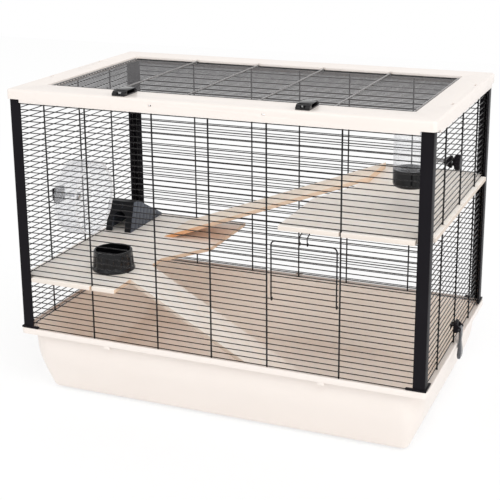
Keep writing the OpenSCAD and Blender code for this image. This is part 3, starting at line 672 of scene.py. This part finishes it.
class MakeTray(bpy.types.Operator):
    """Deep moulded tray: tub, rim band, ledge for the walls, lugs and feet"""
    bl_idname = "cage.make_tray"
    bl_label = "Tray"
    core, rise, bend = 52, 17, 67.1     # bottom edge: inset and height of its centre, its angle
    half_x, half_y = 400, 240

    def curve(self, radius):
        """Round bottom edge of the tub, from the floor up."""
        angles = (math.radians(self.bend * i / 10) for i in range(11))
        return [(self.core - radius * math.sin(a), radius * math.sin(a),
                 self.rise - radius * math.cos(a), 0) for a in angles]

    def execute(self, context):
        # inset from the outer face, plan radius of the corner, height, rounding
        outer_face = [(25, 27, 45, 16), (13, 39, 80, 18), (10, 42, 126.5, 3)]
        band = [(9.2, 42.8, 131.5, 0.8), (3.5, 6.5, 131.5, 0.5), (3.5, 6.5, 126.5, 0.6),
                (0, 10, 126.5, 1.0), (0, 10, 138, 1.5), (3.5, 6.5, 138, 0.9),
                (3.5, 6.5, 134.5, 0.6), (12.5, 39.5, 134.5, 1.6)]
        inner_face = [(15.97, 36.03, 80.6, 18), (27.8, 24.2, 46.1, 16)]
        profile = self.curve(14) + outer_face + band + inner_face + self.curve(11)[::-1]
        profile = filleted([p[:3] for p in profile], [p[3] for p in profile], 5)
        rings = [rounded_ring(*mm(self.half_x - inset, self.half_y - inset, radius, z), 14)
                 for inset, radius, z in profile]
        details = [mesh_of(*loft(rings), merge=5e-6)]
        lug_x, lug_half, lug_deep, foot_x, foot_y = 212, 6, 2.5, 307, 178
        foot = [(0, 0), (7.6, 0), (8.6, 0.5), (9, 1.6), (9, 4), (0, 4)]
        for i in (-1, 1):
            for j in (-1, 1):
                low = self.half_y - lug_deep if j > 0 else -self.half_y
                details.append(block(mm(i * lug_x - lug_half, low, 121),
                                     mm(i * lug_x + lug_half, low + lug_deep, 127), 0.7 * MM))
                details.append(lathe([mm(r, h) for r, h in foot], mm(i * foot_x, j * foot_y, 0),
                                     32))
        details.append(block(mm(-8, 233.4, 133.6), mm(8, 236.8, 143), 0.8 * MM))
        joined = together(details)
        joined.materials.append(FINISHES["cream"])
        joined.materials.append(FINISHES["tray_inside"])
        # the faces between these bounds that look inwards or up are the tray's inside; they take
        # the lighter copy of the cream, painted light against the shade inside the cage
        inside_x, inside_y, floor_z, ledge_z = 0.3878, 0.2278, 0.0058, 0.1342
        for face in joined.polygons:
            c = face.center
            within = abs(c.x) < inside_x and abs(c.y) < inside_y and floor_z < c.z < ledge_z
            inward = c.x * face.normal.x + c.y * face.normal.y < 0 or face.normal.z > 0.5
            face.material_index = int(within and inward)
        piece("tray_moulding", joined, "cream", "tray", "tray")
        return {"FINISHED"}


class MakeFrame(bpy.types.Operator):
    """Moulded top frame with its lid opening, slots and rounded edges"""
    bl_idname = "cage.make_frame"
    bl_label = "Top frame"

    def execute(self, context):
        piece("top_frame_moulding", softened("top_frame", look().edge), "cream", "cage",
              "top_frame")
        return {"FINISHED"}


class MakePosts(bpy.types.Operator):
    """Four angle-section corner posts with feet"""
    bl_idname = "cage.make_posts"
    bl_label = "Corner posts"

    def execute(self, context):
        piece("corner_post_mouldings", softened("corner_posts", look().edge), "black", "cage",
              "corner_posts")
        return {"FINISHED"}


class MakeWalls(bpy.types.Operator):
    """Welded wire walls: horizontal wires, uprights and weld beads"""
    bl_idname = "cage.make_walls"
    bl_label = "Wire walls"

    def rows(self, start, end, first=0, count=ROWS):
        """Horizontal wires between two places in plan, upwards from one row."""
        z = row_z(first)
        return run((*start, z), (*end, z), mesh_sizes().thin, count, (0, 0, PITCH))

    def upright(self, x, y):
        return run((x, y, FOOT_Z), (x, y, HEAD_Z), mesh_sizes().thick, sides=BENT_SIDES)

    def long_wall(self, side, name, node):
        """Front (side -1) or back wall (side 1); the doorway is left out of the front."""
        half, y = ROW_X - ROW_END, side * ROW_Y
        if side > 0:
            parts = [self.rows((-half, y), (half, y))]
        else:
            above, beside = DOOR_TOP + 1, DOOR_LOW + 1
            cut = DOOR_TOP - DOOR_LOW
            parts = [self.rows((-half, y), (half, y), 0, beside),
                     self.rows((-half, y), (half, y), above, ROWS - above),
                     self.rows((-half, y), (DOOR_SIDES[0], y), beside, cut),
                     self.rows((DOOR_SIDES[1], y), (half, y), beside, cut)]
        parts += [self.upright(x, side * UPRIGHT_Y) for x in LONG_UPRIGHTS]
        touch = side * (ROW_Y + THIN)
        parts.append(welds([mm(x, touch, row_z(k)) for x in LONG_UPRIGHTS for k in range(ROWS)],
                           look().weld))
        piece(name, together(parts), "wire", "cage", node, 50)

    def end_wall(self, side, name, node):
        """Left (side -1) or right wall (side 1)."""
        half, x = ROW_Y - ROW_END, side * ROW_X
        parts = [self.rows((x, -half), (x, half))]
        parts += [self.upright(side * UPRIGHT_X, y) for y in END_UPRIGHTS]
        touch = side * (ROW_X + THIN)
        parts.append(welds([mm(touch, y, row_z(k)) for y in END_UPRIGHTS for k in range(ROWS)],
                           look().weld))
        piece(name, together(parts), "wire", "cage", node, 50)

    def execute(self, context):
        self.long_wall(-1, "front_wall_wires", "front_wall")
        self.long_wall(1, "back_wall_wires", "back_wall")
        self.end_wall(-1, "left_wall_wires", "left_wall")
        self.end_wall(1, "right_wall_wires", "right_wall")
        return {"FINISHED"}


class MakeLid(bpy.types.Operator):
    """Wire lid: long wires, heavier front wire and cross wires curled round the hinge rod"""
    bl_idname = "cage.make_lid"
    bl_label = "Lid"

    def execute(self, context):
        sizes = mesh_sizes()
        first = LID_START + PITCH
        count = LID_ROWS - 1
        long_z, heavy_z, cross_z = 600, 599.4, 602.42
        heavy_y, start_y, last = LID_START - 0.6, LID_START - 2.4, LID_START + PITCH * count
        long_wires = [run((-LID_HALF, first, long_z), (LID_HALF, first, long_z), sizes.thin,
                          count, (0, PITCH, 0)),
                      run((-LID_HALF, heavy_y, heavy_z), (LID_HALF, heavy_y, heavy_z),
                          sizes.thick, sides=BENT_SIDES)]
        # the long lid wires take a lighter copy of the coat: painted highlight
        piece("lid_long_wires", together(long_wires), "lid_wire", "lid", "lid_wires", 50)
        curl = ROD_Z - cross_z
        turns = [(0, ROD_Y + curl * math.sin(a), ROD_Z - curl * math.cos(a))
                 for a in (math.radians(-18 * i) for i in range(1, 19))]
        path = [(0, start_y, cross_z), (0, ROD_Y - 1, cross_z), (0, ROD_Y, cross_z)] + turns
        cross = [wire([mm(x + p[0], p[1], p[2]) for p in path], sizes.thick, sides=BENT_SIDES)
                 for x in LID_CROSS]
        ends = (-LID_HALF + 1.5, LID_HALF - 1.5)
        cross += [run((x, start_y, cross_z), (x, last + 1.2, cross_z), sizes.thick,
                      sides=BENT_SIDES) for x in ends]
        spots = [mm(x, LID_START + PITCH * k, long_z + THIN) for x in LID_CROSS + ends
                 for k in range(1, LID_ROWS)]
        cross.append(welds(spots, look().weld))
        # the cross wires take the lightest copy of the coat: painted highlight
        piece("lid_cross_wires_bent", together(cross), "lid_cross", "lid", "lid_cross_wires",
              50)
        rod_end = LID_HALF + 2.8
        rod = run((-rod_end, ROD_Y, ROD_Z), (rod_end, ROD_Y, ROD_Z), sizes.thick,
                  sides=BENT_SIDES)
        piece("lid_rod", rod, "wire", "cage", "lid_hinge_rod", 50)
        return {"FINISHED"}


class MakeLidLatches(bpy.types.Operator):
    """Sliding latches on the front bar"""
    bl_idname = "cage.make_lid_latches"
    bl_label = "Lid latches"

    def execute(self, context):
        for side in ("left", "right"):
            piece(f"lid_latch_{side}_moulding", softened(f"lid_latch_{side}", look().edge), "gloss",
                  f"latch_{side}", f"lid_latch_{side}")
        return {"FINISHED"}


class MakeDoor(bpy.types.Operator):
    """Front door: bent frame wire, horizontal wires and the wire catch"""
    bl_idname = "cage.make_door"
    bl_label = "Front door"

    def curl(self, x, y, z, radius):
        """A wire's end curled nearly once round another wire that lies along X."""
        angles = (math.radians(20 * i) for i in range(17))
        return [(x, y - radius * math.cos(a), z - radius * math.sin(a)) for a in angles]

    def execute(self, context):
        sizes = mesh_sizes()
        low, top = row_z(DOOR_LOW), row_z(DOOR_TOP)
        hinge = (-ROW_Y, low, THIN + LOOSE + DOOR_WIRE)
        corners = filleted([(DOOR_LEFT, -DOOR_Y, low + 20), (DOOR_LEFT, -DOOR_Y, top),
                            (DOOR_RIGHT, -DOOR_Y, top), (DOOR_RIGHT, -DOOR_Y, low + 20)],
                           [0, 9, 9, 0], 8)
        path = self.curl(DOOR_LEFT, *hinge)[::-1] + corners + self.curl(DOOR_RIGHT, *hinge)
        frame_wire = wire([mm(*p) for p in path], DOOR_WIRE * MM, sides=BENT_SIDES)
        piece("door_frame_wire", frame_wire, "wire", "door", "door_frame", 50)
        y = -(DOOR_Y - DOOR_WIRE - THIN - 0.02)
        first, past = row_z(DOOR_LOW + 1), 2.5
        rank = run((DOOR_LEFT - past, y, first), (DOOR_RIGHT + past, y, first), sizes.thin,
                   DOOR_TOP - DOOR_LOW - 1, (0, 0, PITCH))
        spots = welds([mm(x, y - THIN, row_z(k)) for x in (DOOR_LEFT, DOOR_RIGHT)
                       for k in range(DOOR_LOW + 1, DOOR_TOP)], look().weld * 0.9)
        piece("door_wires", together([rank, spots]), "wire", "door", "door_rows_wires", 50)
        # the catch: up from the door's top bar, then inwards over the next row
        left, right, hook = 169.05, 183.25, 13.35
        pivot = (-DOOR_Y, top, DOOR_WIRE + LOOSE + CATCH_WIRE)
        plane, lift = -(DOOR_Y + pivot[2]), top + 11.9
        tip = (plane + hook, lift + hook * math.tan(math.radians(20)))
        corners = filleted([(left, plane, top + 2), (left, plane, lift), (left, *tip),
                            (right, *tip), (right, plane, lift), (right, plane, top + 2)],
                           [0, 2, 2, 2, 2, 0], 5)
        path = self.curl(left, *pivot)[::-1] + corners + self.curl(right, *pivot)
        catch = wire([mm(*p) for p in path], CATCH_WIRE * MM)
        piece("door_catch_wire", catch, "wire", "door_catch", "door_latch", 50)
        return {"FINISHED"}


class MakeBoards(bpy.types.Operator):
    """Wooden shelves and ramps with eased edges"""
    bl_idname = "cage.make_boards"
    bl_label = "Shelves and ramps"

    def execute(self, context):
        for node in ("shelf_left", "shelf_right", "ramp_upper", "ramp_lower"):
            piece(node + "_board", softened(node, 0.7 * MM), node, "cage", node)
        return {"FINISHED"}


class MakeClips(bpy.types.Operator):
    """Side clips: bodies hooked on the walls and their levers"""
    bl_idname = "cage.make_clips"
    bl_label = "Side clips"

    def execute(self, context):
        for side in ("left", "right"):
            piece(f"clip_body_{side}_moulding", softened(f"clip_body_{side}", look().edge), "black",
                  "cage", f"clip_body_{side}")
            piece(f"clip_lever_{side}_moulding", softened(f"clip_lever_{side}", look().edge),
                  "lever", f"lever_{side}", f"clip_lever_{side}")
        return {"FINISHED"}


class MakeWheel(bpy.types.Operator):
    """Clear running wheel on its bracket and fixed shaft"""
    bl_idname = "cage.make_wheel"
    bl_label = "Running wheel"

    def execute(self, context):
        centre = mm(-351.93, -105, 372.0)
        outer, wall, width, bore, hub, hub_end = 73, 2.5, 50, 3.05, 9, 11
        inner, rib_end, ribs_round, rib_half = outer - wall, width - 4.5, 30, 0.9
        profile = filleted([(bore, 0), (outer, 0), (outer, width), (inner - 1.0, width),
                            (inner, width - 4), (inner, wall), (hub, wall), (hub, hub_end),
                            (bore, hub_end)], [0, 4.2, 1.4, 1.2, 2, 3, 0.8, 1, 0], 6)
        drum = lathe([mm(r, h) for r, h in profile], centre, 120, axis="X")
        rib = block(mm(5, inner - 1.2, -rib_half), mm(rib_end, inner + 0.6, rib_half), 0.4 * MM)
        rib.transform(Matrix.Translation(centre))
        ribs = grown(rib, "clear", ("round", {"Count": ribs_round, "Axis": (1.0, 0.0, 0.0),
                                              "Centre": centre}))
        joined = together([drum, ribs])
        joined.materials.append(FINISHES["clear"])
        joined.materials.append(FINISHES["clear_edge"])
        # the rim faces past the ribs take the white copy: a painted highlight
        rim_x = centre[0] + rib_end * MM
        for face in joined.polygons:
            face.material_index = int(face.center.x > rim_x)
        piece("wheel_drum_clear", joined, "clear", "wheel", "wheel_drum")
        piece("wheel_bracket", softened("wheel_mount", look().edge), "black", "cage", "wheel_mount")
        piece("wheel_shaft_turned", softened("wheel_shaft", 0.3 * MM), "steel", "cage",
              "wheel_shaft")
        return {"FINISHED"}


class MakeHouse(bpy.types.Operator):
    """Sleeping house with a boarded roof and an arched doorway"""
    bl_idname = "cage.make_house"
    bl_label = "House"

    def execute(self, context):
        piece("house_moulding", softened("house", 0.35 * MM), "house", "house", "house")
        return {"FINISHED"}


class MakeBowl(bpy.types.Operator):
    """Food bowl with flutes round its wall"""
    bl_idname = "cage.make_bowl"
    bl_label = "Food bowl"

    def execute(self, context):
        foot, height = 42, 39
        # sixteen hollows of radius flute, centred flute_at from the axis
        turn, flute_at, flute, inner = math.tau / 16, 42.6 * MM, 5.4 * MM, 36 * MM

        def fluted(radius, z, angle):
            """Round hollows upright in the outer wall, run out at both ends."""
            away = (angle / turn % 1 - 0.5) * turn
            width = flute ** 2 - (flute_at * math.sin(away)) ** 2
            fade = min(1, (z - 7 * MM) / (2.5 * MM), (30 * MM - z) / (2.5 * MM))
            if radius < inner or width < 0 or fade < 0:
                return radius
            depth = radius - flute_at * math.cos(away) + math.sqrt(width)
            return radius - fade * max(0, depth)
        corner = [(0, 0), (foot, 0), (foot, 3), (foot - 2, 7), (foot - 4.5, height - 1.5),
                  (foot - 6, height), (foot - 8.5, height), (33.5, height - 3), (33.5, 14),
                  (31.5, 9), (26.5, 6), (0, 6)]
        profile = filleted(corner, [0, 0.8, 0.8, 1.5, 0.8, 0.8, 0.8, 1.5, 3, 3, 2, 0], 4)
        # the long upright stretches are divided, to carry the hollows
        tall, parts, steep = 12, 14, []
        for a, b in zip(profile, profile[1:]):
            steep.append(a)
            if abs(b[1] - a[1]) > tall:
                steep += [(a[0] + (b[0] - a[0]) * t / parts, a[1] + (b[1] - a[1]) * t / parts)
                          for t in range(1, parts)]
        steep.append(profile[-1])
        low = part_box("bowl")[0]
        centre = (middle("bowl", 0), middle("bowl", 1), low[2])
        bowl = lathe([mm(r, h) for r, h in steep], centre, 256, shape=fluted)
        piece("bowl_moulding", bowl, "gloss", "bowl", "bowl")
        return {"FINISHED"}


class MakeFeeder(bpy.types.Operator):
    """Gravity feeder: cup, clear jar, clamp rod, cone and knob"""
    bl_idname = "cage.make_feeder"
    bl_label = "Feeder"

    def execute(self, context):
        jar_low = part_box("feeder_jar")[0][2] + 8 * MM
        jar_at = (middle("feeder_jar", 0), middle("feeder_jar", 1), jar_low)
        jar = filleted([(26.2, -8), (28.2, -8), (28.2, 0), (31, 0), (31, 67), (0, 67), (0, 65),
                        (29, 65), (29, 4), (26.2, 4)], [0, 0.4, 0.6, 0.6, 12, 0, 0, 10, 1, 0], 8)
        piece("feeder_jar_clear", lathe([mm(r, h) for r, h in jar], jar_at, 96), "clear",
              "cage", "feeder_jar")
        cup_at = (jar_at[0], jar_at[1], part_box("feeder_cup")[0][2])
        cup = filleted([(0, 0), (31, 0), (31, 32.7), (28.5, 32.7), (28.5, 3), (0, 3)],
                       [0, 9, 0.7, 0.7, 7.5, 0], 8)
        piece("feeder_cup_moulding", lathe([mm(r, h) for r, h in cup], cup_at, 96), "gloss",
              "cup", "feeder_cup")
        piece("feeder_rod_turned", softened("feeder_rod", 0.3 * MM), "steel", "cage", "feeder_rod")
        piece("feeder_cone_moulding", softened("feeder_cone", 0.4 * MM), "black", "cage",
              "feeder_cone")
        piece("feeder_knob_moulding", softened("feeder_knob", 0.3 * MM), "black", "knob",
              "feeder_knob")
        return {"FINISHED"}


CAMERA_PLACE = (0.7998, -1.9781, 0.9887)
CAMERA_ANGLES = (22.45, 15.65, -0.38)   # azimuth, elevation and roll in degrees
CAMERA_FOCUS = 1146.6 / 500             # focal length as a share of the picture's width
CAMERA_SHIFT = -0.12
LAMPS = {"top_softbox": ((3.2, -5.0, 7.6), (5, 4), 235),
         "front_softbox": ((-1.5, -9.5, 3.2), (5, 5), 75),
         "side_softbox": ((9.5, -2.5, 3.2), (4, 4), 130)}
AIM = (0, 0, 0.3)
SKY_LIGHT = 0.86
EVEN_SHARE = 0.75                       # share of the seen floor that is even white
FLOOR_HALF = 4


class MakeStage(bpy.types.Operator):
    """Camera at the photograph's angle, soft studio light and a pale floor"""
    bl_idname = "cage.make_stage"
    bl_label = "Stage"

    def camera(self, scene):
        azimuth, elevation, roll = (math.radians(angle) for angle in CAMERA_ANGLES)
        ahead = Vector((-math.sin(azimuth) * math.cos(elevation),
                        math.cos(azimuth) * math.cos(elevation), -math.sin(elevation)))
        right = Vector((math.cos(azimuth), math.sin(azimuth), 0))
        up = right.cross(ahead)
        across = math.cos(roll) * right + math.sin(roll) * up
        upward = -math.sin(roll) * right + math.cos(roll) * up
        data = bpy.data.cameras.new("photo_camera")
        made = bpy.data.objects.new("photo_camera", data)
        scene.collection.objects.link(made)
        turn = Matrix((across, upward, -ahead)).transposed()
        made.matrix_world = Matrix.Translation(CAMERA_PLACE) @ turn.to_4x4()
        data.sensor_width = 36
        data.lens = CAMERA_FOCUS * data.sensor_width
        data.shift_y = CAMERA_SHIFT
        data.clip_start, data.clip_end = 0.1, 100
        scene.camera = made

    def lamp(self, scene, name, place, size, power):
        data = bpy.data.lights.new(name, "AREA")
        data.shape, data.size, data.size_y, data.energy = "RECTANGLE", size[0], size[1], power
        made = bpy.data.objects.new(name, data)
        scene.collection.objects.link(made)
        made.location = place
        made.rotation_mode = "QUATERNION"
        made.rotation_quaternion = (Vector(AIM) - Vector(place)).to_track_quat("-Z", "Y")

    def seen(self, tree):
        """1 for rays from the camera, a mirror or glass, 0 for the light itself."""
        path = tree.nodes.new("ShaderNodeLightPath")
        total = path.outputs["Is Camera Ray"]
        for label in ("Is Glossy Ray", "Is Transmission Ray"):
            most = tree.nodes.new("ShaderNodeMath")
            most.operation = "MAXIMUM"
            tree.links.new(total, most.inputs[0])
            tree.links.new(path.outputs[label], most.inputs[1])
            total = most.outputs[0]
        return total

    def floor_paint(self):
        """White floor: a quarter of what shows is lit, the rest even, so a faint shadow stays."""
        paint = Finish("floor_paint", 0.9, Specular_IOR_Level=0.0)
        paint.colour(paint.blend(paint.noise(0.5), (1, 1, 1, 1), (0.985, 0.985, 0.985, 1)))
        even = paint.tree.nodes.new("ShaderNodeEmission")
        mixed = paint.tree.nodes.new("ShaderNodeMixShader")
        paint.join(paint.times(self.seen(paint.tree), EVEN_SHARE), mixed.inputs[0])
        paint.join(paint.shader.outputs[0], mixed.inputs[1])
        paint.join(even.outputs[0], mixed.inputs[2])
        paint.join(mixed.outputs[0], paint.output.inputs[0])
        return paint.material

    def execute(self, context):
        scene = context.scene
        self.camera(scene)
        for name, values in LAMPS.items():
            self.lamp(scene, name, *values)
        world = bpy.data.worlds.new("studio")
        scene.world = world
        world.use_nodes = True
        nodes, join = world.node_tree.nodes, world.node_tree.links.new
        nodes.clear()
        seen = self.seen(world.node_tree)
        light, white = nodes.new("ShaderNodeBackground"), nodes.new("ShaderNodeBackground")
        for shown, strength in ((light, SKY_LIGHT), (white, 1.0)):
            shown.inputs["Color"].default_value = (1, 1, 1, 1)
            shown.inputs["Strength"].default_value = strength
        mixed, out = nodes.new("ShaderNodeMixShader"), nodes.new("ShaderNodeOutputWorld")
        join(seen, mixed.inputs[0])
        join(light.outputs[0], mixed.inputs[1])
        join(white.outputs[0], mixed.inputs[2])
        join(mixed.outputs[0], out.inputs[0])
        floor = bpy.data.meshes.new("floor")
        floor.from_pydata([(i * FLOOR_HALF, j * FLOOR_HALF, 0) for i, j in
                           ((-1, -1), (1, -1), (1, 1), (-1, 1))], [], [(0, 1, 2, 3)])
        made = bpy.data.objects.new("studio_floor", floor)
        scene.collection.objects.link(made)
        floor.materials.append(self.floor_paint())
        scene.view_settings.view_transform = "Standard"
        return {"FINISHED"}


OPERATORS = (MakeStage, MakeTray, MakeFrame, MakePosts, MakeWalls, MakeLid, MakeLidLatches,
             MakeDoor, MakeBoards, MakeClips, MakeWheel, MakeHouse, MakeBowl, MakeFeeder)


class CagePanel(bpy.types.Panel):
    bl_label = "Ferret cage"
    bl_idname = "VIEW3D_PT_cage"
    bl_space_type = "VIEW_3D"
    bl_region_type = "UI"
    bl_category = "Cage"

    def draw(self, context):
        for group in (context.scene.cage_look, context.scene.cage_wires):
            for name in group.__annotations__:
                self.layout.prop(group, name)
        for operator in OPERATORS:
            self.layout.operator(operator.bl_idname)


CLASSES = (CageLook, CageWires, *OPERATORS, CagePanel)


def register():
    for cls in CLASSES:
        bpy.utils.register_class(cls)
    bpy.types.Scene.cage_look = bpy.props.PointerProperty(type=CageLook)
    bpy.types.Scene.cage_wires = bpy.props.PointerProperty(type=CageWires)


def unregister():
    del bpy.types.Scene.cage_wires
    del bpy.types.Scene.cage_look
    for cls in reversed(CLASSES):
        bpy.utils.unregister_class(cls)


def main():
    register()
    make_finishes(look())
    for operator in OPERATORS:
        group, name = operator.bl_idname.split(".")
        getattr(getattr(bpy.ops, group), name)()


if __name__ == "__main__":
    main()
